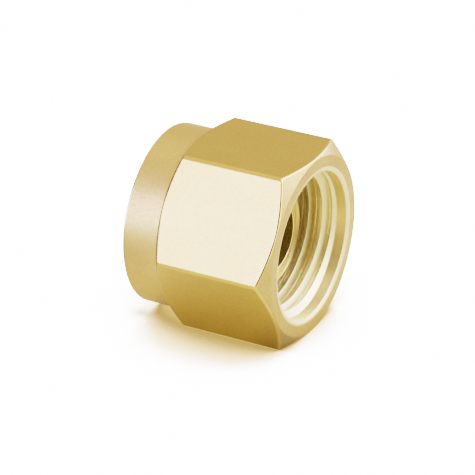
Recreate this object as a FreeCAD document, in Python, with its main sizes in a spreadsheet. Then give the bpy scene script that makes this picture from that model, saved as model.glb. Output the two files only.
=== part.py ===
import FreeCAD, Part
import os

import Sketcher

# Tube plug: a hexagon nut and the turned plug insert that it holds.
# Each piece is drawn as it is turned, with the open face at depth 0 and the axis along +X into the nut.
# Depths are measured from the open face and radii from the axis.
# The placements then lay the nut on one flat, with its open end towards +X.

NODE_FOLDER = "parts"
SIDE_COUNT = 6
HALF_TURN = 180.0
FULL_TURN = 360.0
SAME_PLACE_TOLERANCE = 1e-4

# Driving dimensions in millimetres and degrees: name, value, what it measures
DIMENSIONS = (
    ("across_flats", 15.875, "hexagon bar, 5/8 inch across flats"),
    ("corner_radius", 0.52, "rounding of the bar's six corners"),
    ("hex_length", 10.7, "open face to the foot of the rear collar"),
    ("collar_length", 3.25, "rear collar behind the hexagon"),
    ("face_margin", 0.33, "how much smaller the open face is than the flats"),
    ("collar_margin", 0.28, "how much smaller the collar is than the flats"),
    ("chamfer_angle", 30.0, "slope of the turned hexagon ends, from the face"),
    ("chamfer_overrun", 1.0, "how far the chamfer cuts run past the corners"),
    ("collar_rim_radius", 0.2, "rounding of the collar's rear rim"),
    ("thread_major_diameter", 12.7, "1/2-20 UNF thread"),
    ("thread_pitch", 1.27, "twenty turns to the inch"),
    ("thread_length", 6.0, "threaded wall between its two cones"),
    ("pilot_clearance", 0.05, "pilot bore outside the thread, on the radius"),
    ("pilot_depth", 1.05, "open face to the end of the pilot bore"),
    ("mouth_width", 0.275, "width of the mouth chamfer, on the radius"),
    ("mouth_angle", 60.0, "slope of the mouth chamfer, from the axis"),
    ("run_out_length", 0.5, "groove behind the thread, at full width"),
    ("flange_clearance", 0.6, "groove outside the flange, on the radius"),
    ("rear_bore_chamfer", 0.3, "rear bore's outer edge"),
    ("tube_diameter", 7.9375, "5/16 inch tube that the insert stands for"),
    ("running_clearance", 0.06, "rear bore outside the stem, on the radius"),
    ("flange_catch", 0.185, "flange beyond the thread's crests, on the radius"),
    ("flange_length", 0.7, "flange between its two cones"),
    ("seat_gap", 0.2, "flange's rear cone to the nut's seat, along the axis"),
    ("cone_angle", 30.0, "slope of the sealing cone, from the axis"),
    ("nose_length", 2.05, "nose in front of the sealing cone"),
    ("nose_rim_chamfer", 0.1, "nose's outer edge"),
    ("nose_bore_diameter", 5.5, "hollow of the nose"),
    ("nose_bore_depth", 4.0, "hollow of the nose, to its full width"),
    ("drill_angle", 59.0, "slope of the hollow's coned end, from the axis"),
    ("stem_recess", 0.3, "collar's rear face to the end of the stem"),
    ("stem_chamfer", 0.4, "edge of the stem's end"),
)

# Radii, as expressions of the sheet
FLAT_RADIUS = "(sizes.across_flats / 2)"
BAR_RADIUS = f"({FLAT_RADIUS} / cos({HALF_TURN} deg / {SIDE_COUNT}))"
CLEAR_RADIUS = f"({BAR_RADIUS} + sizes.chamfer_overrun)"
FACE_RADIUS = f"({FLAT_RADIUS} - sizes.face_margin / 2)"
COLLAR_RADIUS = f"({FLAT_RADIUS} - sizes.collar_margin / 2)"
PILOT_RADIUS = "(sizes.thread_major_diameter / 2 + sizes.pilot_clearance)"
MOUTH_RADIUS = f"({PILOT_RADIUS} + sizes.mouth_width)"
CREST_RADIUS = "((sizes.thread_major_diameter - sizes.thread_pitch) / 2)"
FLANGE_RADIUS = f"({CREST_RADIUS} + sizes.flange_catch)"
GROOVE_RADIUS = f"({FLANGE_RADIUS} + sizes.flange_clearance)"
TUBE_RADIUS = "(sizes.tube_diameter / 2)"
REAR_RADIUS = f"({TUBE_RADIUS} + sizes.running_clearance)"
NOSE_BORE_RADIUS = "(sizes.nose_bore_diameter / 2)"

# Depths of the nut's stations: the lead-in, the run-out and the seat slope at 45 degrees
TOTAL_LENGTH = "(sizes.hex_length + sizes.collar_length)"
FACE_SLOPE = "tan(sizes.chamfer_angle * 1 deg)"
MOUTH_END = "(sizes.mouth_width / tan(sizes.mouth_angle * 1 deg))"
THREAD_START = f"(sizes.pilot_depth + {PILOT_RADIUS} - {CREST_RADIUS})"
THREAD_END = f"({THREAD_START} + sizes.thread_length)"
GROOVE_START = f"({THREAD_END} + {GROOVE_RADIUS} - {CREST_RADIUS})"
GROOVE_END = f"({GROOVE_START} + sizes.run_out_length)"
SEAT_END = f"({GROOVE_END} + {GROOVE_RADIUS} - {REAR_RADIUS})"
REAR_CHAMFER_START = f"({TOTAL_LENGTH} - sizes.rear_bore_chamfer)"

# Depths of the insert's stations, worked out forwards from the nut's seat
FLANGE_BACK = f"({GROOVE_END} + sizes.flange_clearance - sizes.seat_gap)"
STEM_START = f"({FLANGE_BACK} + {FLANGE_RADIUS} - {TUBE_RADIUS})"
FLANGE_FRONT = f"({FLANGE_BACK} - sizes.flange_length)"
CONE_START = f"({FLANGE_FRONT} - ({FLANGE_RADIUS} - {TUBE_RADIUS}) / tan(sizes.cone_angle * 1 deg))"
NOSE_FRONT = f"({CONE_START} - sizes.nose_length)"
NOSE_BORE_END = f"({NOSE_FRONT} + sizes.nose_bore_depth)"
NOSE_BORE_TIP = f"({NOSE_BORE_END} + {NOSE_BORE_RADIUS} / tan(sizes.drill_angle * 1 deg))"
STEM_END = f"({TOTAL_LENGTH} - sizes.stem_recess)"

doc = FreeCAD.newDocument("tube_plug")


def make_sheet():
    """Keep the driving dimensions in a spreadsheet, one named cell each."""
    sheet = doc.addObject("Spreadsheet::Sheet", "sizes")
    for row, (alias, value, note) in enumerate(DIMENSIONS, start=1):
        sheet.set(f"A{row}", note)
        sheet.set(f"B{row}", str(value))
        sheet.setAlias(f"B{row}", alias)
    doc.recompute()


def measure(expression):
    """The value of an expression of the sheet."""
    return float(doc.sizes.evalExpression(expression))


def make_body(label):
    """An empty body, laid on the hexagon's lower flat with its open end towards +X."""
    body = doc.addObject("PartDesign::Body", label)
    body.Label = label
    half_turn = FreeCAD.Rotation(FreeCAD.Vector(0, 0, 1), HALF_TURN)
    body.Placement = FreeCAD.Placement(FreeCAD.Vector(0, 0, 0), half_turn)
    body.setExpression("Placement.Base.x", f"{TOTAL_LENGTH} / 2")
    body.setExpression("Placement.Base.z", FLAT_RADIUS)
    return body


def attach(feature, body, role):
    """Set a feature on one of its body's own origin planes."""
    plane = next(item for item in body.Origin.OriginFeatures if item.Role == role)
    feature.AttachmentSupport = [(plane, "")]
    feature.MapMode = "FlatFace"


def axial_section(body, name, corners):
    """A closed half section, its corners given as expressions of depth and radius."""
    sketch = body.newObject("Sketcher::SketchObject", name)
    attach(sketch, body, "XY_Plane")
    points = [FreeCAD.Vector(measure(depth), measure(radius), 0) for depth, radius in corners]
    for start, end in zip(points, points[1:] + points[:1]):
        sketch.addGeometry(Part.LineSegment(start, end), False)
    for line in range(len(corners)):
        following = (line + 1) % len(corners)
        sketch.addConstraint(Sketcher.Constraint("Coincident", line, 2, following, 1))
    for line, (depth, radius) in enumerate(corners):
        place_corner(sketch, line, "X", "DistanceX", depth, points[line].x)
        place_corner(sketch, line, "Y", "DistanceY", radius, points[line].y)
    return sketch


def place_corner(sketch, line, letter, kind, expression, value):
    """Hold one coordinate of a line's start: on the axis line where it is 0, else at its expression."""
    if expression == "0":
        axis_line = -2 if letter == "X" else -1
        sketch.addConstraint(Sketcher.Constraint("PointOnObject", line, 1, axis_line))
        return
    name = f"corner_{line}_{letter.lower()}"
    index = sketch.addConstraint(Sketcher.Constraint(kind, -1, 1, line, 1, value))
    sketch.renameConstraint(index, name)
    sketch.setExpression(f"Constraints.{name}", expression)


def turned(body, kind, name, corners):
    """Revolve a half section about the axis, to add or to cut material."""
    sketch = axial_section(body, f"{name}_section", corners)
    feature = body.newObject(f"PartDesign::{kind}", name)
    feature.Profile = sketch
    feature.ReferenceAxis = (sketch, ["H_Axis"])
    feature.Angle = FULL_TURN
    doc.recompute()
    return feature


def ring_edge(feature, depth, radius):
    """The name of the one full circle at this depth and radius."""
    for number, edge in enumerate(feature.Shape.Edges, start=1):
        if not isinstance(edge.Curve, Part.Circle):
            continue
        same_depth = abs(edge.Curve.Center.x - measure(depth)) < SAME_PLACE_TOLERANCE
        same_radius = abs(edge.Curve.Radius - measure(radius)) < SAME_PLACE_TOLERANCE
        if same_depth and same_radius:
            return f"Edge{number}"
    raise ValueError(f"{feature.Name} has no circle at {depth}, {radius}")


def edge_feature(body, kind, name, base, edges, size_property, size):
    """A fillet or chamfer on named edges of the feature before it."""
    feature = body.newObject(f"PartDesign::{kind}", name)
    feature.Base = (base, edges)
    feature.setExpression(size_property, size)
    doc.recompute()
    return feature


def make_hexagon_bar(body):
    """Hexagon bar with rounded corners, a flat on top and below."""
    bar = body.newObject("PartDesign::AdditivePrism", "hexagon_bar")
    attach(bar, body, "YZ_Plane")
    bar.Polygon = SIDE_COUNT
    bar.setExpression("Circumradius", BAR_RADIUS)
    bar.setExpression("Height", "sizes.hex_length")
    doc.recompute()
    lengthwise = [
        f"Edge{number}"
        for number, edge in enumerate(bar.Shape.Edges, start=1)
        if abs(edge.BoundBox.XLength - measure("sizes.hex_length")) < SAME_PLACE_TOLERANCE
    ]
    return edge_feature(body, "Fillet", "bar_corners", bar, lengthwise, "Radius", "sizes.corner_radius")


def make_nut():
    """Hexagon nut with its collar, turned ends and stepped bore."""
    body = make_body("nut")
    make_hexagon_bar(body)
    turned(body, "Revolution", "collar", (
        ("0", "0"),
        ("0", FACE_RADIUS),
        ("sizes.hex_length", COLLAR_RADIUS),
        (TOTAL_LENGTH, COLLAR_RADIUS),
        (TOTAL_LENGTH, "0"),
    ))
    turned(body, "Groove", "front_chamfer", (
        ("0", FACE_RADIUS),
        ("0", CLEAR_RADIUS),
        (f"({CLEAR_RADIUS} - {FACE_RADIUS}) * {FACE_SLOPE}", CLEAR_RADIUS),
    ))
    hexagon = turned(body, "Groove", "rear_chamfer", (
        ("sizes.hex_length", COLLAR_RADIUS),
        ("sizes.hex_length", CLEAR_RADIUS),
        (f"sizes.hex_length - ({CLEAR_RADIUS} - {COLLAR_RADIUS}) * {FACE_SLOPE}", CLEAR_RADIUS),
    ))
    rear_rim = ring_edge(hexagon, TOTAL_LENGTH, COLLAR_RADIUS)
    edge_feature(body, "Fillet", "collar_rim", hexagon, [rear_rim], "Radius", "sizes.collar_rim_radius")
    turned(body, "Groove", "stepped_bore", (
        ("0", "0"),
        ("0", MOUTH_RADIUS),
        (MOUTH_END, PILOT_RADIUS),
        ("sizes.pilot_depth", PILOT_RADIUS),
        (THREAD_START, CREST_RADIUS),
        (THREAD_END, CREST_RADIUS),
        (GROOVE_START, GROOVE_RADIUS),
        (GROOVE_END, GROOVE_RADIUS),
        (SEAT_END, REAR_RADIUS),
        (REAR_CHAMFER_START, REAR_RADIUS),
        (TOTAL_LENGTH, f"{REAR_RADIUS} + sizes.rear_bore_chamfer"),
        (TOTAL_LENGTH, "0"),
    ))
    return body


def make_plug_insert():
    """Plug insert: hollow nose, sealing cone, flange and the stem that fills the rear bore."""
    body = make_body("plug_insert")
    blank = turned(body, "Revolution", "turned_blank", (
        (NOSE_FRONT, "0"),
        (NOSE_FRONT, TUBE_RADIUS),
        (CONE_START, TUBE_RADIUS),
        (FLANGE_FRONT, FLANGE_RADIUS),
        (FLANGE_BACK, FLANGE_RADIUS),
        (STEM_START, TUBE_RADIUS),
        (STEM_END, TUBE_RADIUS),
        (STEM_END, "0"),
    ))
    nose_rim = ring_edge(blank, NOSE_FRONT, TUBE_RADIUS)
    nose = edge_feature(body, "Chamfer", "nose_rim", blank, [nose_rim], "Size", "sizes.nose_rim_chamfer")
    stem_rim = ring_edge(nose, STEM_END, TUBE_RADIUS)
    edge_feature(body, "Chamfer", "stem_rim", nose, [stem_rim], "Size", "sizes.stem_chamfer")
    turned(body, "Groove", "nose_bore", (
        (NOSE_FRONT, "0"),
        (NOSE_FRONT, NOSE_BORE_RADIUS),
        (NOSE_BORE_END, NOSE_BORE_RADIUS),
        (NOSE_BORE_TIP, "0"),
    ))
    return body


def check_model(bodies):
    """Stop if any feature failed or any piece is not one closed, valid solid."""
    for item in doc.Objects:
        if "Invalid" in item.State or "Error" in item.State:
            raise RuntimeError(f"{item.Label} did not build: {item.State}")
    for body in bodies:
        shape = body.Shape
        if shape.isNull() or not shape.isValid() or len(shape.Solids) != 1:
            raise RuntimeError(f"{body.Label} is not one valid solid")


def write_pieces(bodies):
    """Write each piece to a file of its own name and print its size."""
    os.makedirs(NODE_FOLDER, exist_ok=True)
    for body in bodies:
        box = body.Shape.optimalBoundingBox(False, False)
        body.Shape.exportStep(f"{NODE_FOLDER}/{body.Label}.step")
        print(f"{body.Label}: {box.XLength:.3f} x {box.YLength:.3f} x {box.ZLength:.3f} mm,"
              f" {body.Shape.Volume:.2f} mm3, lowest {box.ZMin:.3f} mm")


make_sheet()
pieces = [make_nut(), make_plug_insert()]
doc.recompute()
check_model(pieces)
write_pieces(pieces)
print(f"nose front {measure(NOSE_FRONT):.3f} mm deep, thread {measure(THREAD_START):.3f}"
      f" to {measure(THREAD_END):.3f} mm, seat ends {measure(SEAT_END):.3f} mm")
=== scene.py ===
"""A brass tube plug, dressed: a hexagon nut with its tapped thread, and the turned insert that it holds."""

import logging
import math
from collections.abc import Sequence
from dataclasses import dataclass
from enum import Enum

import bmesh
import bpy
import numpy as np
from mathutils import Euler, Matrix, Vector


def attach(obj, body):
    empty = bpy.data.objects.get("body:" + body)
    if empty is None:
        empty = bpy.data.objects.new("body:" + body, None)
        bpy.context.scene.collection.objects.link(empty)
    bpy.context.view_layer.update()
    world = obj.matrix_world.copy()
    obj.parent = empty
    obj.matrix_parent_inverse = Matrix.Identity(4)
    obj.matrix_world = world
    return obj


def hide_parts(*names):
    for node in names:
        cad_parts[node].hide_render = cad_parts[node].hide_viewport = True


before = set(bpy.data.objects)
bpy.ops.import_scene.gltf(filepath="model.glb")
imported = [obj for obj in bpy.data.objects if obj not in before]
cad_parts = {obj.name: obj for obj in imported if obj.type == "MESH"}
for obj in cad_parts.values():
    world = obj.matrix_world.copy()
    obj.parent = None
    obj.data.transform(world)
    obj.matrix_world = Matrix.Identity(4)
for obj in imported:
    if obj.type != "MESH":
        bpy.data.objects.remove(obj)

log = logging.getLogger("tube_plug")

Rgb = tuple[float, float, float]
Light = bpy.types.NodeSocket | Rgb
Stops = tuple[tuple[float, str], ...]
Section = list[tuple[float, float]]

MM = 0.001
MICRON = MM * MM
FULL_TURN = 2.0 * math.pi
SIDES = 6
SIDE_TURN = FULL_TURN / SIDES
SAME_PLACE = 1e-6
MERGE_DISTANCE = 1e-7
LEAST_LENGTH = 1e-30

# The plug's own frame: it lies along X with its open face towards +X, and its axis stands half the flats
# above the floor
ACROSS_FLATS = 15.875
TOTAL_LENGTH = 13.95
AXIS_HEIGHT = ACROSS_FLATS / 2
OPEN_FACE_X = TOTAL_LENGTH / 2

# Broken edges, and the most of a side that one may take
FINE_EDGE = 0.02
PLAIN_EDGE = 0.03
SOFT_EDGE = 0.04
ROUND_EDGE = 0.05
EDGE_LIMIT = 0.45


@dataclass(frozen=True)
class Corner:
    """A corner of a turned profile, in millimetres: its depth behind the open face, its radius, its edge."""

    depth: float
    radius: float
    edge: float = PLAIN_EDGE

    def above(self, cone: "Cone") -> float:
        """How far outside a cone's surface the corner lies, on the radius."""
        return self.radius - cone.radius_at(self.depth)

    def towards(self, other: "Corner", share: float) -> "Corner":
        """The corner moved a share of the way to another one, with its own edge."""
        depth = self.depth + (other.depth - self.depth) * share
        return Corner(depth, self.radius + (other.radius - self.radius) * share, self.edge)


@dataclass(frozen=True)
class Cone:
    """A turned cone that cuts back the thread's teeth, from its tip to its foot at the crests."""

    tip: Corner
    foot: Corner

    def radius_at(self, depth: float) -> float:
        """The cone's radius at a depth, also past its ends."""
        slope = (self.foot.radius - self.tip.radius) / (self.foot.depth - self.tip.depth)
        return self.tip.radius + slope * (depth - self.tip.depth)

    def cut(self, corner: Corner, base: Corner) -> Corner:
        """Where the cone leaves a tooth's corner.

        Args:
            corner: A corner of the tooth.
            base: The corner at the foot of the same flank, or the corner itself where it is one.

        Returns:
            The corner itself, the point of its flank that the cone meets, or the cone's tip.
        """
        if corner.above(self) >= 0.0:
            return corner
        if base.above(self) <= 0.0:
            return self.tip
        return base.towards(corner, base.above(self) / (base.above(self) - corner.above(self)))


def broken_profile(corners: Sequence[Corner]) -> Section:
    """Gives every corner of a closed profile its broken edge.

    Args:
        corners: The profile's corners in order. Corners on one place share one edge, rounder for it.

    Returns:
        Depth and radius of two points for each corner.
    """
    places = [np.array((corner.depth, corner.radius)) for corner in corners]
    count = len(places)
    same = [float(np.abs(places[i] - places[i - 1]).max()) < SAME_PLACE for i in range(count)]
    first = same.index(False)
    points: Section = []
    i = first
    while i < first + count:
        size = 1
        while same[(i + size) % count] and size < count:
            size += 1
        place = places[i % count]
        ends = []
        for other in (places[(i - 1) % count], places[(i + size) % count]):
            run = other - place
            ends.append(place + run * min(corners[i % count].edge / float(np.hypot(*run)), EDGE_LIMIT))
        for share in np.linspace(0.0, 1.0, 2 * size):
            point = (1 - share) ** 2 * ends[0] + 2 * share * (1 - share) * place + share ** 2 * ends[1]
            points.append((float(point[0]), float(point[1])))
        i += size
    return points[-2 * first:] + points[:-2 * first] if first else points


def turned_mesh(name: str, angles: Sequence[float], columns: Sequence[Section]) -> bpy.types.Object:
    """Joins half sections round the axis into one closed mesh.

    Args:
        name: The piece's name.
        angles: The half sections' places round the axis in radians, 0 at +Y and growing towards +Z.
        columns: Each half section's points, depth and radius in millimetres, as many in each.

    Returns:
        The piece, in the plug's frame, with merged seams and outward normals.
    """
    grid = np.array(columns)
    turn = np.array(angles)[:, None]
    x = (OPEN_FACE_X - grid[..., 0]) * MM
    y = grid[..., 1] * np.cos(turn) * MM
    z = (AXIS_HEIGHT + grid[..., 1] * np.sin(turn)) * MM
    rows, width = x.shape
    index = np.arange(rows * width).reshape(rows, width)
    following = np.roll(index, -1, axis=1)
    quads = np.stack([index[:-1], following[:-1], following[1:], index[1:]], axis=-1).reshape(-1, 4)
    mesh = bpy.data.meshes.new(name)
    mesh.from_pydata(np.stack([x, y, z], axis=-1).reshape(-1, 3).tolist(), [], quads.tolist())
    work = bmesh.new()
    work.from_mesh(mesh)
    bmesh.ops.remove_doubles(work, verts=work.verts, dist=MERGE_DISTANCE)
    bmesh.ops.recalc_face_normals(work, faces=work.faces)
    work.to_mesh(mesh)
    work.free()
    mesh.shade_smooth()
    firm_normals(mesh)
    piece = bpy.data.objects.new(name, mesh)
    bpy.context.scene.collection.objects.link(piece)
    return piece


def firm_normals(mesh: bpy.types.Mesh) -> None:
    """Sets each vertex's normal from its widest faces, so that flats stay flat and only edges look round.

    Args:
        mesh: The mesh, smooth shaded.
    """
    normals = np.zeros((len(mesh.vertices), 3))
    for face in mesh.polygons:
        pull = np.array(face.normal) * face.area ** 2
        for vertex in face.vertices:
            normals[vertex] += pull
    normals /= np.maximum(np.linalg.norm(normals, axis=1, keepdims=True), LEAST_LENGTH)
    mesh.normals_split_custom_set_from_vertices(normals.tolist())


def turned_place(face: bpy.types.MeshPolygon) -> tuple[float, float]:
    """A face's depth behind the open face and its radius, in millimetres."""
    radius = math.hypot(face.center.y / MM, face.center.z / MM - AXIS_HEIGHT)
    return OPEN_FACE_X - face.center.x / MM, radius


def linear_colour(code: str) -> tuple[float, float, float, float]:
    """A colour's linear values and alpha 1 from its sRGB hex code."""
    channels = [int(code.lstrip("#")[i:i + 2], 16) / 255.0 for i in (0, 2, 4)]
    return (*(c / 12.92 if c <= 0.04045 else ((c + 0.055) / 1.055) ** 2.4 for c in channels), 1.0)


def add_node(tree: bpy.types.NodeTree, kind: str, settings: dict[str, object] | None = None,
             inputs: dict[str | int, object] | None = None) -> bpy.types.Node:
    """Adds a node with its settings and links.

    Args:
        tree: The node tree.
        kind: The node's type name.
        settings: Properties of the node.
        inputs: For each socket, by name or place, a value or the output socket that it is linked from.

    Returns:
        The node.
    """
    node = tree.nodes.new(kind)
    for key, value in (settings or {}).items():
        setattr(node, key, value)
    for key, value in (inputs or {}).items():
        if isinstance(value, bpy.types.NodeSocket):
            tree.links.new(value, node.inputs[key])
        else:
            node.inputs[key].default_value = value
    return node


class MarkRun(Enum):
    """How a tool's marks lie on a surface."""

    LENGTHWISE = "lines along the bar"
    ROUND_WALL = "rings on a wall turned round the axis"
    ROUND_FACE = "rings on a faced end"


# A slow drift of tone under the grain, as skin oil and air leave it on bare brass
CLOUD_MM = 3.0
CLOUD_SHARE = 0.4
# The noise's span that the two tones take, and how far the roughness follows them
TONE_SPAN = (0.3, 0.7)
ROUGHNESS_SWING = 0.2
# How many finer waves lie in the marks and in the grain, and how strong the grain's are
MARK_DETAIL = 2.0
GRAIN_DETAIL = 3.0
GRAIN_FINENESS = 0.6


@dataclass(frozen=True)
class BrassFinish:
    """Free-cutting brass, a warm yellow metal. The fields say how one of its surfaces was cut; on some
    surfaces the tone also carries painted light or painted shade.

    Real tool marks lie 0.03 to 0.1 mm apart, and the metal's grain is finer still. A pixel of the render is
    0.08 mm wide, so both are drawn 0.1 to 0.3 mm apart, as coarse as they need to be to show.
    """

    name: str
    tone: str
    deep_tone: str
    roughness: float
    marks: MarkRun
    mark_spacing_mm: float
    mark_height_um: float
    grain_mm: float
    grain_height_um: float

    def mark_course(self, tree: bpy.types.NodeTree, place: bpy.types.NodeSocket) -> bpy.types.NodeSocket:
        """What the tool's marks vary along.

        Args:
            tree: The material's node tree.
            place: The place on the metal.

        Returns:
            The distance along the marks' course, in metres.
        """
        centred = add_node(tree, "ShaderNodeVectorMath", {"operation": "SUBTRACT"},
                           {0: place, 1: (0.0, 0.0, AXIS_HEIGHT * MM)}).outputs[0]
        parts = add_node(tree, "ShaderNodeSeparateXYZ", inputs={0: centred})
        if self.marks is MarkRun.ROUND_WALL:
            return parts.outputs[0]
        if self.marks is MarkRun.ROUND_FACE:
            across = add_node(tree, "ShaderNodeCombineXYZ",
                              inputs={1: parts.outputs[1], 2: parts.outputs[2]}).outputs[0]
            return add_node(tree, "ShaderNodeVectorMath", {"operation": "LENGTH"},
                            {0: across}).outputs["Value"]
        angle = add_node(tree, "ShaderNodeMath", {"operation": "ARCTAN2"},
                         {0: parts.outputs[2], 1: parts.outputs[1]}).outputs[0]
        return add_node(tree, "ShaderNodeMath", {"operation": "MULTIPLY"},
                        {0: angle, 1: AXIS_HEIGHT * MM}).outputs[0]

    def material(self) -> bpy.types.Material:
        """Makes the finish: two tones of the metal, with the tool's marks and the grain as relief.

        Returns:
            The material, with its nodes.
        """
        made = bpy.data.materials.new(self.name)
        made.use_nodes = True
        tree = made.node_tree
        tree.nodes.clear()
        place = add_node(tree, "ShaderNodeTexCoord").outputs["Object"]
        step = add_node(tree, "ShaderNodeMath", {"operation": "DIVIDE"},
                        {0: self.mark_course(tree, place), 1: self.mark_spacing_mm * MM}).outputs[0]
        marks = add_node(tree, "ShaderNodeTexNoise", {"noise_dimensions": "1D"},
                         {"W": step, "Scale": 1.0, "Detail": MARK_DETAIL}).outputs["Fac"]
        grain = add_node(tree, "ShaderNodeTexNoise", inputs={
            "Vector": place, "Scale": 1.0 / (self.grain_mm * MM), "Detail": GRAIN_DETAIL,
            "Roughness": GRAIN_FINENESS}).outputs["Fac"]
        cloud = add_node(tree, "ShaderNodeTexNoise", inputs={
            "Vector": place, "Scale": 1.0 / (CLOUD_MM * MM), "Detail": GRAIN_DETAIL}).outputs["Fac"]
        mix = add_node(tree, "ShaderNodeMix", inputs={"Factor": CLOUD_SHARE, 2: grain, 3: cloud}).outputs[0]
        shade = add_node(tree, "ShaderNodeMapRange", inputs={
            "Value": mix, "From Min": TONE_SPAN[0], "From Max": TONE_SPAN[1]}).outputs[0]
        tone = add_node(tree, "ShaderNodeMix", {"data_type": "RGBA"}, {
            "Factor": shade, 6: linear_colour(self.deep_tone), 7: linear_colour(self.tone)}).outputs[2]
        rough = add_node(tree, "ShaderNodeMapRange", inputs={
            "Value": shade, "To Min": self.roughness * (1.0 + ROUGHNESS_SWING),
            "To Max": self.roughness * (1.0 - ROUGHNESS_SWING)}).outputs[0]
        cut = add_node(tree, "ShaderNodeBump", inputs={
            "Strength": 1.0, "Distance": self.mark_height_um * MICRON, "Height": marks}).outputs[0]
        skin = add_node(tree, "ShaderNodeBump", inputs={
            "Strength": 1.0, "Distance": self.grain_height_um * MICRON, "Height": grain,
            "Normal": cut}).outputs[0]
        metal = add_node(tree, "ShaderNodeBsdfPrincipled", inputs={
            "Base Color": tone, "Metallic": 1.0, "Roughness": rough, "Normal": skin}).outputs[0]
        add_node(tree, "ShaderNodeOutputMaterial", inputs={"Surface": metal})
        return made


# Drawn flats: the die's smooth skin gives a broad satin sheen, with faint lines along the bar
DRAWN_BRASS = BrassFinish(
    "brass_drawn_flat", "#DAB96A", "#CEAA5E", 0.22, MarkRun.LENGTHWISE, 0.30, 0.3, 0.30, 0.5)
# Faced and chamfered ends: fine rings and a dry grain, paler and duller than the flats
FACED_BRASS = BrassFinish(
    "brass_faced_end", "#DDC291", "#C19F65", 0.34, MarkRun.ROUND_FACE, 0.14, 1.0, 0.20, 2.2)
# Turned collar: rings round the axis spread the light into one soft band across it
TURNED_BRASS = BrassFinish(
    "brass_turned_collar", "#DABB75", "#CCAA66", 0.44, MarkRun.ROUND_WALL, 0.14, 0.8, 0.20, 1.6)
# Tapped flanks: pressed smooth by the tap; their pale cream tone is painted light, so they show as bright
# cream bands in the mouth
TAPPED_PAINTED_LIGHT_BRASS = BrassFinish(
    "brass_tapped_thread_painted_light", "#F4E9C3", "#F0E2B6", 0.42, MarkRun.ROUND_FACE, 0.10, 0.05, 0.30, 0.15)
# Bored walls: clean, with only a trace of the boring tool's rings; their bright pale tone is painted light
# inside the mouth
BORED_PAINTED_LIGHT_BRASS = BrassFinish(
    "brass_bored_wall_painted_light", "#F8EAC6", "#F6E2B4", 0.42, MarkRun.ROUND_WALL, 0.12, 0.1, 0.25, 0.15)
# Deburred edges: rubbed nearly to a mirror, so each is a thin glint or a thin dark line; their tone, paler
# than the flats', is a painted glint
EDGE_PAINTED_GLINT_BRASS = BrassFinish(
    "brass_deburred_edge_painted_glint", "#EDD08C", "#DDBB70", 0.10, MarkRun.ROUND_FACE, 0.12, 0.1, 0.25, 0.2)
# The mouth's rim: burnished by the deburring tool; its near-white tone is a painted highlight, a pale bright
# ring round the opening
RIM_PAINTED_HIGHLIGHT_BRASS = BrassFinish(
    "brass_burnished_rim_painted_highlight", "#FBF0CE", "#F3E0B0", 0.22, MarkRun.ROUND_FACE, 0.12, 0.3, 0.25, 0.8)
# The stem's end: faced and satin, a little browner than the nut round it
STEM_BRASS = BrassFinish(
    "brass_faced_stem", "#E4C486", "#DAB87C", 0.40, MarkRun.ROUND_FACE, 0.12, 0.5, 0.20, 0.6)
# The hollow and the covered middle: no finishing cut, so they stay dull; their dark greenish tone is painted
# shade, in the hollow and between insert and nut
ROUGH_PAINTED_SHADE_BRASS = BrassFinish(
    "brass_rough_cut_painted_shade", "#B0A05A", "#9A8A4C", 0.50, MarkRun.ROUND_WALL, 0.15, 1.0, 0.30, 1.0)
# The nose: a fine last cut, as it has to enter the fitting, gives it a gloss; its clear cream tone is
# painted light
NOSE_PAINTED_SHEEN_BRASS = BrassFinish(
    "brass_fine_turned_nose_painted_sheen", "#F6EBCC", "#F2E2BA", 0.10, MarkRun.ROUND_FACE, 0.12, 0.05, 0.25, 0.1)

# In the order of each piece's surfaces
NUT_FINISHES = (DRAWN_BRASS, FACED_BRASS, TURNED_BRASS, TAPPED_PAINTED_LIGHT_BRASS, BORED_PAINTED_LIGHT_BRASS, EDGE_PAINTED_GLINT_BRASS, RIM_PAINTED_HIGHLIGHT_BRASS)
INSERT_FINISHES = (STEM_BRASS, ROUGH_PAINTED_SHADE_BRASS, NOSE_PAINTED_SHEEN_BRASS)


class NutSurface(Enum):
    """The nut's surfaces by how each was made; the value is its material's place on the piece."""

    FLAT = 0
    END = 1
    COLLAR = 2
    THREAD = 3
    BORE = 4
    EDGE = 5
    RIM = 6


class InsertSurface(Enum):
    """The insert's surfaces by how each was made; the value is its material's place on the piece."""

    STEM = 0
    INSIDE = 1
    NOSE = 2


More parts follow.
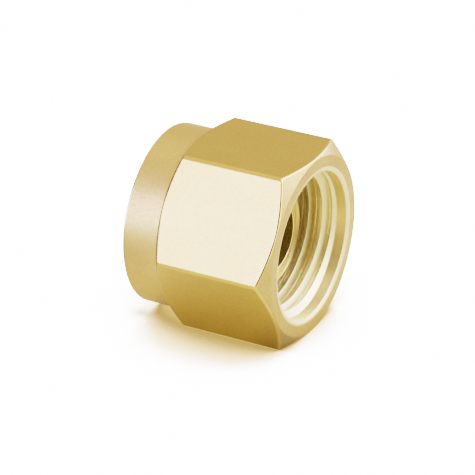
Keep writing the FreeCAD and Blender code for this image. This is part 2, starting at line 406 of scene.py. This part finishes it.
@dataclass
class HexagonNut:
    """The hexagon nut, in millimetres, with its right-handed internal thread."""

    corner_rounding: float = 0.52
    hex_length: float = 10.7
    face_radius: float = ACROSS_FLATS / 2 - 0.165
    collar_radius: float = ACROSS_FLATS / 2 - 0.14
    end_slope: float = math.tan(math.radians(30.0))
    rim_rounding: float = 0.2
    major_radius: float = 6.35
    crest_radius: float = 5.715
    pitch: float = 1.27
    crest_flat: float = 0.3175
    flank_angle: float = math.radians(30.0)
    first_crest: float = 2.0876
    turns: range = range(-2, 8)
    pilot_radius: float = 6.4
    pilot_depth: float = 1.05
    mouth_radius: float = 6.675
    mouth_end: float = 0.275 / math.tan(math.radians(60.0))
    mouth_dip: float = 0.02
    thread_length: float = 6.0
    groove_radius: float = 6.5
    groove_length: float = 0.5
    rear_radius: float = 4.02875
    rear_edge: float = 0.3
    burr_edge: float = 0.15
    rim_width: float = 0.16
    # How far each finish runs past the corners between two surfaces
    mouth_margin: float = 0.04
    rim_margin: float = 0.01
    edge_margin: float = 0.1
    thread_overrun: float = 1.5
    # The most that a wall's normals lean along the axis, and the lean of the broken edges' normals
    collar_lean: float = 0.3
    flat_lean: float = 0.25
    edge_lean: tuple[float, float] = (0.05, 0.8)
    flat_steps: int = 38
    corner_steps: int = 12

    def angles(self) -> list[float]:
        """Places the half sections round the axis, close together on the bar's corners.

        Returns:
            The angles in radians, in rising order over one full turn, with both its ends.
        """
        centre = (ACROSS_FLATS / 2 - self.corner_rounding) / math.cos(SIDE_TURN / 2)
        lean = np.linspace(-SIDE_TURN / 2, SIDE_TURN / 2, self.corner_steps + 1)
        arc = np.arctan2(self.corner_rounding * np.sin(lean), centre + self.corner_rounding * np.cos(lean))
        flat = np.linspace(arc[-1], SIDE_TURN + arc[0], self.flat_steps + 1)[1:-1]
        side = np.concatenate([arc, flat])
        turns = np.concatenate([side + i * SIDE_TURN for i in range(SIDES)])
        return [*turns.tolist(), float(turns[0]) + FULL_TURN]

    def bar_radius(self, angle: float) -> float:
        """The hexagon bar's radius at an angle, over a flat or a rounded corner.

        Args:
            angle: The place round the axis in radians.

        Returns:
            The radius in millimetres.
        """
        half = SIDE_TURN / 2
        rounding = self.corner_rounding
        lean = abs((angle + half) % SIDE_TURN - half)
        centre = (ACROSS_FLATS / 2 - rounding) / math.cos(half)
        if lean > math.atan2(rounding * math.sin(half), centre + rounding * math.cos(half)):
            return ACROSS_FLATS / 2 / math.cos(half - lean)
        return centre * math.cos(lean) + math.sqrt(rounding ** 2 - (centre * math.sin(lean)) ** 2)

    def tooth(self, front: float, lead: Cone, run_out: Cone) -> list[Corner]:
        """The corners of one thread tooth, front to back.

        Args:
            front: Depth of the front edge of the tooth's crest.
            lead: The cone in front of the thread.
            run_out: The cone behind the thread.

        Returns:
            Six corners, with those that a cone cuts away moved onto it.
        """
        flank = (self.major_radius - self.crest_radius) * math.tan(self.flank_angle)
        foot = Corner(front - flank, self.major_radius, ROUND_EDGE)
        crest = Corner(front, self.crest_radius)
        back = Corner(front + self.crest_flat, self.crest_radius)
        heel = Corner(front + self.crest_flat + flank, self.major_radius, ROUND_EDGE)
        corners = [foot, crest, crest, back, back, heel]
        bases = [foot, foot, foot, heel, heel, heel]
        for cone in (lead, run_out):
            corners = [cone.cut(corner, base) for corner, base in zip(corners, bases)]
        front_stands, back_stands = (corners[i].radius < self.crest_radius + SAME_PLACE for i in (1, 4))
        if front < lead.foot.depth and not front_stands:
            corners[2] = lead.foot if back_stands else corners[4]
        if front > lead.foot.depth and not back_stands:
            corners[3] = run_out.foot if front_stands else corners[1]
        return corners

    def profile(self, angle: float) -> list[Corner]:
        """The nut's closed half section at an angle, from the mouth round the outside and back.

        Args:
            angle: The half section's place round the axis in radians.

        Returns:
            The corners, as many at every angle.
        """
        bar = self.bar_radius(angle)
        end = self.pilot_depth + self.pilot_radius - self.crest_radius + self.thread_length
        groove_start = end + self.groove_radius - self.crest_radius
        groove_end = groove_start + self.groove_length
        seat_end = groove_end + self.groove_radius - self.rear_radius
        lead = Cone(Corner(self.pilot_depth + self.pilot_radius - self.major_radius, self.major_radius, 0.0),
                    Corner(end - self.thread_length, self.crest_radius))
        run_out = Cone(Corner(end + self.major_radius - self.crest_radius, self.major_radius, 0.0),
                       Corner(end, self.crest_radius))
        first = self.first_crest - self.pitch * angle / FULL_TURN
        teeth = [corner for turn in self.turns
                 for corner in self.tooth(first + turn * self.pitch, lead, run_out)]
        front_cut = (bar - self.face_radius) * self.end_slope
        rear_cut = self.hex_length - (bar - self.collar_radius) * self.end_slope
        outside = [
            Corner(self.mouth_dip, self.mouth_radius),
            Corner(0.0, self.mouth_radius + self.rim_width, FINE_EDGE),
            Corner(0.0, self.face_radius, SOFT_EDGE),
            *[Corner(front_cut, bar, self.burr_edge)] * 2,
            *[Corner(rear_cut, bar, self.burr_edge)] * 2,
            Corner(self.hex_length, self.collar_radius),
            *[Corner(TOTAL_LENGTH, self.collar_radius, self.rim_rounding)] * 3,
            Corner(TOTAL_LENGTH, self.rear_radius + self.rear_edge, SOFT_EDGE),
            Corner(TOTAL_LENGTH - self.rear_edge, self.rear_radius, SOFT_EDGE),
            Corner(seat_end, self.rear_radius, SOFT_EDGE),
            Corner(groove_end, self.groove_radius, ROUND_EDGE),
            Corner(groove_start, self.groove_radius, ROUND_EDGE),
        ]
        inside = [Corner(self.pilot_depth, self.pilot_radius), Corner(self.mouth_end, self.pilot_radius)]
        return [*outside, *reversed(teeth), *inside]

    def surface_of(self, face: bpy.types.MeshPolygon) -> NutSurface:
        """Says which of the nut's surfaces a face is on.

        Args:
            face: A face of the nut's mesh.

        Returns:
            The surface.
        """
        depth, radius = turned_place(face)
        lean = face.normal.x
        # The thread and the bore take the pale tones of painted light
        if radius < self.mouth_radius - self.mouth_margin and 0.0 < depth < TOTAL_LENGTH - SAME_PLACE:
            threaded = self.pilot_depth < depth < self.pilot_depth + self.thread_length + self.thread_overrun
            return NutSurface.THREAD if threaded else NutSurface.BORE
        # The rim takes the painted highlight
        if depth < self.mouth_end / 2 and radius < self.mouth_radius + self.rim_width - self.rim_margin:
            return NutSurface.RIM
        # Broken edges take the paler tone of the painted glint
        on_chamfer_edge = depth < self.hex_length - self.edge_margin and radius > self.face_radius
        if on_chamfer_edge and self.edge_lean[0] < lean < self.edge_lean[1]:
            return NutSurface.EDGE
        if depth > TOTAL_LENGTH - self.rim_rounding and radius > self.collar_radius - self.rim_rounding:
            return NutSurface.EDGE
        if depth > self.hex_length and abs(lean) < self.collar_lean:
            return NutSurface.COLLAR
        if abs(lean) < self.flat_lean and radius > self.collar_radius:
            return NutSurface.FLAT
        return NutSurface.END

    def build(self) -> bpy.types.Object:
        """Makes the nut's mesh."""
        angles = self.angles()
        return turned_mesh("nut_threaded", angles, [broken_profile(self.profile(angle)) for angle in angles])

    def dress(self, piece: bpy.types.Object) -> None:
        """Gives each surface of the nut its finish.

        Args:
            piece: The nut.
        """
        for finish in NUT_FINISHES:
            piece.data.materials.append(finish.material())
        for face in piece.data.polygons:
            face.material_index = self.surface_of(face).value


@dataclass
class PlugInsert:
    """The turned insert in the nut, in millimetres: hollow nose, sealing cone, flange and stem."""

    tube_radius: float = 3.96875
    nose_front: float = 3.325
    nose_length: float = 2.05
    bore_radius: float = 2.75
    bore_depth: float = 4.0
    drill_slope: float = math.tan(math.radians(59.0))
    flange_radius: float = 5.9
    flange_length: float = 0.7
    flange_back: float = 9.42
    stem_end: float = 13.65
    stem_edge: float = 0.4
    nose_edge: float = 0.1
    hollow_edge: float = 0.06
    # Where the finishes meet: the hollow's lip, the nose's inner edge and the part of the stem that shows
    lip: float = 0.07
    nose_margin: float = 0.1
    shown_stem: float = 1.0
    steps: int = 240

    def profile(self) -> list[Corner]:
        """The half section, from the tip of the hollow round the outside to the middle of the stem's end.

        Returns:
            The corners.
        """
        bore_end = self.nose_front + self.bore_depth
        flange_rise = self.flange_radius - self.tube_radius
        return [
            Corner(bore_end + self.bore_radius / self.drill_slope, 0.0, 0.0),
            Corner(bore_end, self.bore_radius, ROUND_EDGE),
            *[Corner(self.nose_front, self.bore_radius, self.hollow_edge)] * 2,
            *[Corner(self.nose_front, self.tube_radius, self.nose_edge)] * 2,
            Corner(self.nose_front + self.nose_length, self.tube_radius, ROUND_EDGE),
            *[Corner(self.flange_back - self.flange_length, self.flange_radius, SOFT_EDGE)] * 2,
            *[Corner(self.flange_back, self.flange_radius, SOFT_EDGE)] * 2,
            Corner(self.flange_back + flange_rise, self.tube_radius, SOFT_EDGE),
            *[Corner(self.stem_end - self.stem_edge, self.tube_radius, SOFT_EDGE)] * 2,
            *[Corner(self.stem_end, self.tube_radius - self.stem_edge, SOFT_EDGE)] * 2,
            Corner(self.stem_end, 0.0, 0.0),
        ]

    def surface_of(self, face: bpy.types.MeshPolygon) -> InsertSurface:
        """Says which of the insert's surfaces a face is on.

        Args:
            face: A face of the insert's mesh.

        Returns:
            The surface.
        """
        depth, radius = turned_place(face)
        nose_back = self.nose_front + self.nose_length
        before_stem = depth < self.stem_end - self.shown_stem
        in_hollow = depth > self.nose_front + self.lip and radius < self.bore_radius + SAME_PLACE
        # The hollow and the stem's covered part take the dark tone of painted shade
        if before_stem and (in_hollow or depth > nose_back):
            return InsertSurface.INSIDE
        # The nose takes the cream tone of painted light
        if depth < nose_back and radius > self.bore_radius - self.nose_margin:
            return InsertSurface.NOSE
        return InsertSurface.STEM

    def build(self) -> bpy.types.Object:
        """Makes the insert's mesh, with the same half section all round."""
        angles = np.linspace(0.0, FULL_TURN, self.steps + 1).tolist()
        return turned_mesh("insert_turned", angles, [broken_profile(self.profile())] * len(angles))

    def dress(self, piece: bpy.types.Object) -> None:
        """Gives each surface of the insert its finish.

        Args:
            piece: The insert.
        """
        for finish in INSERT_FINISHES:
            piece.data.materials.append(finish.material())
        for face in piece.data.polygons:
            face.material_index = self.surface_of(face).value


@dataclass(frozen=True)
class Spot:
    """A soft round spot, whole within its inner limit and gone beyond its outer one.

    It adds its light, or where it has none, it leaves a share of the light that is there.
    """

    name: str
    middle: tuple[float, ...]
    inner: float
    outer: float
    light: Rgb | None = None
    share: float = 1.0

    def fade(self, tree: bpy.types.NodeTree,
             place: bpy.types.NodeSocket) -> tuple[bpy.types.NodeSocket, float, float]:
        """Measures how far a place is from the spot's middle.

        Args:
            tree: The node tree of what the spot is on.
            place: The place on the floor, or the direction looked in.

        Returns:
            The value, and what it is at the spot's outer and at its inner limit.
        """
        raise NotImplementedError

    def change(self, tree: bpy.types.NodeTree, place: bpy.types.NodeSocket, so_far: Light) -> Light:
        """Adds the spot's light, or dims what is there.

        Args:
            tree: The node tree of what the spot is on.
            place: The place on the floor, or the direction looked in.
            so_far: The light without the spot.

        Returns:
            The light with the spot.
        """
        value, outer, inner = self.fade(tree, place)
        outside, inside = (0.0, 1.0) if self.light else (1.0, self.share)
        soft_edge = {"interpolation_type": "SMOOTHSTEP", "label": self.name}
        cover = add_node(tree, "ShaderNodeMapRange", soft_edge, {
            "Value": value, "From Min": outer, "From Max": inner,
            "To Min": outside, "To Max": inside}).outputs[0]
        if self.light:
            return add_node(tree, "ShaderNodeVectorMath", {"operation": "MULTIPLY_ADD"},
                            {0: cover, 1: self.light, 2: so_far}).outputs[0]
        return add_node(tree, "ShaderNodeVectorMath", {"operation": "SCALE"},
                        {0: so_far, "Scale": cover}).outputs[0]


class TentSpot(Spot):
    """A spot of the tent round the plug: its direction, and its half angles in degrees."""

    def fade(self, tree: bpy.types.NodeTree,
             place: bpy.types.NodeSocket) -> tuple[bpy.types.NodeSocket, float, float]:
        """Measures how near a direction is to the spot's.

        Args:
            tree: The tent's node tree.
            place: The direction looked in.

        Returns:
            The cosine between the two, and what it is at the outer and at the inner half angle.
        """
        middle = tuple(Vector(self.middle).normalized())
        facing = add_node(tree, "ShaderNodeVectorMath", {"operation": "DOT_PRODUCT"},
                          {0: place, 1: middle}).outputs["Value"]
        return facing, math.cos(math.radians(self.outer)), math.cos(math.radians(self.inner))


class PaintedFloorSpot(Spot):
    """A spot of painted light or painted shade on the floor's glow: its middle and its radii in millimetres.
    """

    def fade(self, tree: bpy.types.NodeTree,
             place: bpy.types.NodeSocket) -> tuple[bpy.types.NodeSocket, float, float]:
        """Measures how far a place on the floor is from the spot's middle.

        Args:
            tree: The floor's node tree.
            place: The place on the floor.

        Returns:
            The distance, and what it is at the outer and at the inner radius, in metres.
        """
        middle = (self.middle[0] * MM, self.middle[1] * MM, 0.0)
        away = add_node(tree, "ShaderNodeVectorMath", {"operation": "DISTANCE"},
                        {0: place, 1: middle}).outputs["Value"]
        return away, self.outer * MM, self.inner * MM


# White panels of the tent, then its dark openings: the camera's, which draws the dark line along the near
# edge, and one far to the left
TENT_SPOTS = (
    TentSpot("overhead", (-0.42, 0.0, 0.90), 20.0, 48.0, (0.37, 0.35, 0.52)),
    TentSpot("back", (0.20, 0.97, -0.05), 12.0, 35.0, (0.13, 0.17, 0.30)),
    TentSpot("back_right", (0.60, 0.78, 0.15), 12.0, 35.0, (2.27, 2.32, 2.83)),
    TentSpot("back_high", (0.20, 0.79, 0.57), 5.0, 15.0, (3.99, 3.99, 4.00)),
    TentSpot("front_right", (0.85, -0.40, 0.35), 15.0, 45.0, (2.42, 2.39, 2.18)),
    TentSpot("right_high", (0.60, 0.20, 0.77), 15.0, 40.0, (4.22, 4.06, 3.99)),
    TentSpot("camera_opening", (0.4178, -0.7917, 0.4416), 27.0, 43.0, share=0.07),
    TentSpot("left_opening", (-0.99, -0.05, 0.05), 25.0, 52.0, share=0.15),
)
# Painted pools of light on the floor's glow, then spots of painted shade that dim it
PAINTED_FLOOR_SPOTS = (
    PaintedFloorSpot("before_mouth", (8.5, 2.0), 1.5, 6.5, (0.23, 0.15, 0.00)),
    PaintedFloorSpot("back_right", (16.0, 18.0), 5.0, 18.0, (0.23, 0.25, 0.26)),
    PaintedFloorSpot("front_left", (-8.0, -23.0), 7.0, 20.0, (0.15, 0.14, 0.48)),
    PaintedFloorSpot("left_painted_shade", (-42.0, -8.0), 24.0, 33.0, share=0.10),
    PaintedFloorSpot("mouth_painted_shade", (7.0, -4.5), 1.0, 4.5, share=0.62),
)
# A painted shadow: the faint end of the plug's shadow, beside the collar's foot
PAINTED_COLLAR_SHADOW = PaintedFloorSpot("painted_collar_shadow", (-7.3, -4.2), 0.0, 1.8, share=0.28)
ROOM_LIGHT = (0.85, 0.71, 0.55)
FLOOR_LIGHT = (1.19, 1.04, 0.73)
# The white of the page, which the view's tones hold just under their top
PAGE_LIGHT = 12.0


@dataclass(frozen=True)
class LitAcrylicPaintedShadow:
    """White acrylic lit from below: an even glow, with the plug's soft, warm shadow painted on it.

    Each stop says how open the sky is over the sheet, and the tone there, so the shade is painted from that
    openness. The cast stops paint a warm shade into the light that the sheet throws up on the brass, and the
    page stops paint the shadow on the sheet as the eye sees it.
    """

    name: str = "lit_white_acrylic_painted_shadow"
    sky_reach_mm: float = 14.0
    sky_looks: int = 16
    cast_painted_shade_stops: Stops = ((0.15, "#897955"), (0.85, "#FFFFFF"))
    page_painted_shadow_stops: Stops = ((0.12, "#4D3C23"), (0.24, "#362914"), (0.34, "#45361F"), (0.44, "#6B573F"),
                         (0.58, "#8A7559"), (0.78, "#FFFFFF"))

    def material(self) -> bpy.types.Material:
        """Makes the sheet: its glow as the brass mirrors it, and its white as the eye sees it, both with
        painted shade.

        Returns:
            The material, with its nodes.
        """
        made = bpy.data.materials.new(self.name)
        made.use_nodes = True
        tree = made.node_tree
        tree.nodes.clear()
        place = add_node(tree, "ShaderNodeTexCoord").outputs["Object"]
        # How open the sky is over each point; the ramps below turn it into painted shadow
        open_sky = add_node(tree, "ShaderNodeAmbientOcclusion", {"samples": self.sky_looks},
                            {"Distance": self.sky_reach_mm * MM}).outputs["AO"]
        tones = []
        for stops in (self.cast_painted_shade_stops, self.page_painted_shadow_stops):
            ramp = add_node(tree, "ShaderNodeValToRGB", inputs={0: open_sky})
            for _ in stops[2:]:
                ramp.color_ramp.elements.new(1.0)
            for element, (where, tone) in zip(ramp.color_ramp.elements, stops):
                element.position, element.color = where, linear_colour(tone)
            tones.append(ramp.outputs[0])
        glow: Light = FLOOR_LIGHT
        # Painted pools of light and painted shade on the glow that the brass mirrors
        for spot in PAINTED_FLOOR_SPOTS:
            glow = spot.change(tree, place, glow)
        cast = add_node(tree, "ShaderNodeVectorMath", {"operation": "MULTIPLY"},
                        {0: glow, 1: tones[0]}).outputs[0]
        page = add_node(tree, "ShaderNodeVectorMath", {"operation": "SCALE"},
                        {0: tones[1], "Scale": PAGE_LIGHT}).outputs[0]
        # Painted shadow by the collar's foot, dimming the page
        page = PAINTED_COLLAR_SHADOW.change(tree, place, page)
        seen = add_node(tree, "ShaderNodeLightPath").outputs["Is Camera Ray"]
        light = add_node(tree, "ShaderNodeMix", {"data_type": "RGBA"},
                         {"Factor": seen, 6: cast, 7: page}).outputs[2]
        sheet = add_node(tree, "ShaderNodeEmission", inputs={"Color": light}).outputs[0]
        add_node(tree, "ShaderNodeOutputMaterial", inputs={"Surface": sheet})
        return made


@dataclass(frozen=True)
class SoftBox:
    """A soft box that looks at the plug; its radiance is the brightness of its face in a mirror."""

    name: str
    direction: tuple[float, float, float]
    distance_m: float
    size_m: tuple[float, float]
    radiance: float
    colour: Rgb

    def build(self) -> None:
        """Makes the soft box."""
        width, height = self.size_m
        data = bpy.data.lights.new(self.name, "AREA")
        data.shape = "RECTANGLE"
        data.size, data.size_y = width, height
        data.color = self.colour
        data.energy = self.radiance * math.pi * width * height
        box = bpy.data.objects.new(self.name, data)
        way = Vector(self.direction).normalized()
        box.location = Vector((0.0, 0.0, AXIS_HEIGHT * MM)) + way * self.distance_m
        box.rotation_euler = way.to_track_quat("Z", "Y").to_euler()
        bpy.context.scene.collection.objects.link(box)


# The near flat mirrors this box, and so shows nearly white
KEY_BOX = SoftBox("key_box", (-0.4178, -0.8500, 0.3400), 0.5, (0.42, 0.36), 3.32, (0.95, 1.00, 1.99))


@dataclass
class Studio:
    """The pale floor, the soft lights and the camera."""

    camera_place_mm: tuple[float, float, float] = (96.497, -182.872, 109.898)
    camera_turn_deg: tuple[float, float, float] = (63.5654, -0.3258, 28.0431)
    lens_mm: float = 207.16
    sensor_mm: float = 36.0
    clip_m: tuple[float, float] = (0.01, 10.0)
    floor_size_m: float = 1.2

    def build_floor(self) -> None:
        """Makes the floor."""
        mesh = bpy.data.meshes.new("floor")
        half = self.floor_size_m / 2
        corners = [(-half, -half, 0.0), (half, -half, 0.0), (half, half, 0.0), (-half, half, 0.0)]
        mesh.from_pydata(corners, [], [(0, 1, 2, 3)])
        mesh.materials.append(LitAcrylicPaintedShadow().material())
        floor = bpy.data.objects.new("floor", mesh)
        bpy.context.scene.collection.objects.link(floor)

    def build_tent(self) -> None:
        """Makes the pale tent round the plug; the camera sees it as the white page."""
        world = bpy.data.worlds.new("pale_tent")
        world.use_nodes = True
        tree = world.node_tree
        tree.nodes.clear()
        way = add_node(tree, "ShaderNodeTexCoord").outputs["Generated"]
        light: Light = ROOM_LIGHT
        for spot in TENT_SPOTS:
            light = spot.change(tree, way, light)
        seen = add_node(tree, "ShaderNodeLightPath").outputs["Is Camera Ray"]
        light = add_node(tree, "ShaderNodeMix", {"data_type": "RGBA"}, {
            "Factor": seen, 6: light, 7: (PAGE_LIGHT, PAGE_LIGHT, PAGE_LIGHT, 1.0)}).outputs[2]
        tent = add_node(tree, "ShaderNodeBackground", inputs={"Color": light}).outputs[0]
        add_node(tree, "ShaderNodeOutputWorld", inputs={"Surface": tent})
        bpy.context.scene.world = world

    def build_camera(self) -> None:
        """Makes the camera at the photograph's place."""
        data = bpy.data.cameras.new("camera")
        data.lens, data.sensor_width = self.lens_mm, self.sensor_mm
        data.clip_start, data.clip_end = self.clip_m
        camera = bpy.data.objects.new("camera", data)
        camera.location = Vector(self.camera_place_mm) * MM
        camera.rotation_euler = Euler([math.radians(a) for a in self.camera_turn_deg])
        bpy.context.scene.collection.objects.link(camera)
        bpy.context.scene.camera = camera

    def build(self) -> None:
        """Makes the whole studio."""
        self.build_floor()
        self.build_tent()
        KEY_BOX.build()
        self.build_camera()
        settings = bpy.context.scene.view_settings
        settings.view_transform = "Filmic"
        settings.look = "High Contrast"


def main() -> None:
    """Builds and dresses the pieces, then the studio."""
    logging.basicConfig(level=logging.INFO, format="%(name)s: %(message)s")
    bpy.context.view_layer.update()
    nut = HexagonNut()
    nut_piece = nut.build()
    nut.dress(nut_piece)
    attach(nut_piece, "nut")
    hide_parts("nut")
    log.info("%s: %d faces", nut_piece.name, len(nut_piece.data.polygons))
    insert = PlugInsert()
    insert_piece = insert.build()
    insert.dress(insert_piece)
    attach(insert_piece, "insert")
    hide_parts("plug_insert")
    log.info("%s: %d faces", insert_piece.name, len(insert_piece.data.polygons))
    Studio().build()
    bpy.context.view_layer.update()


if __name__ == "__main__":
    main()
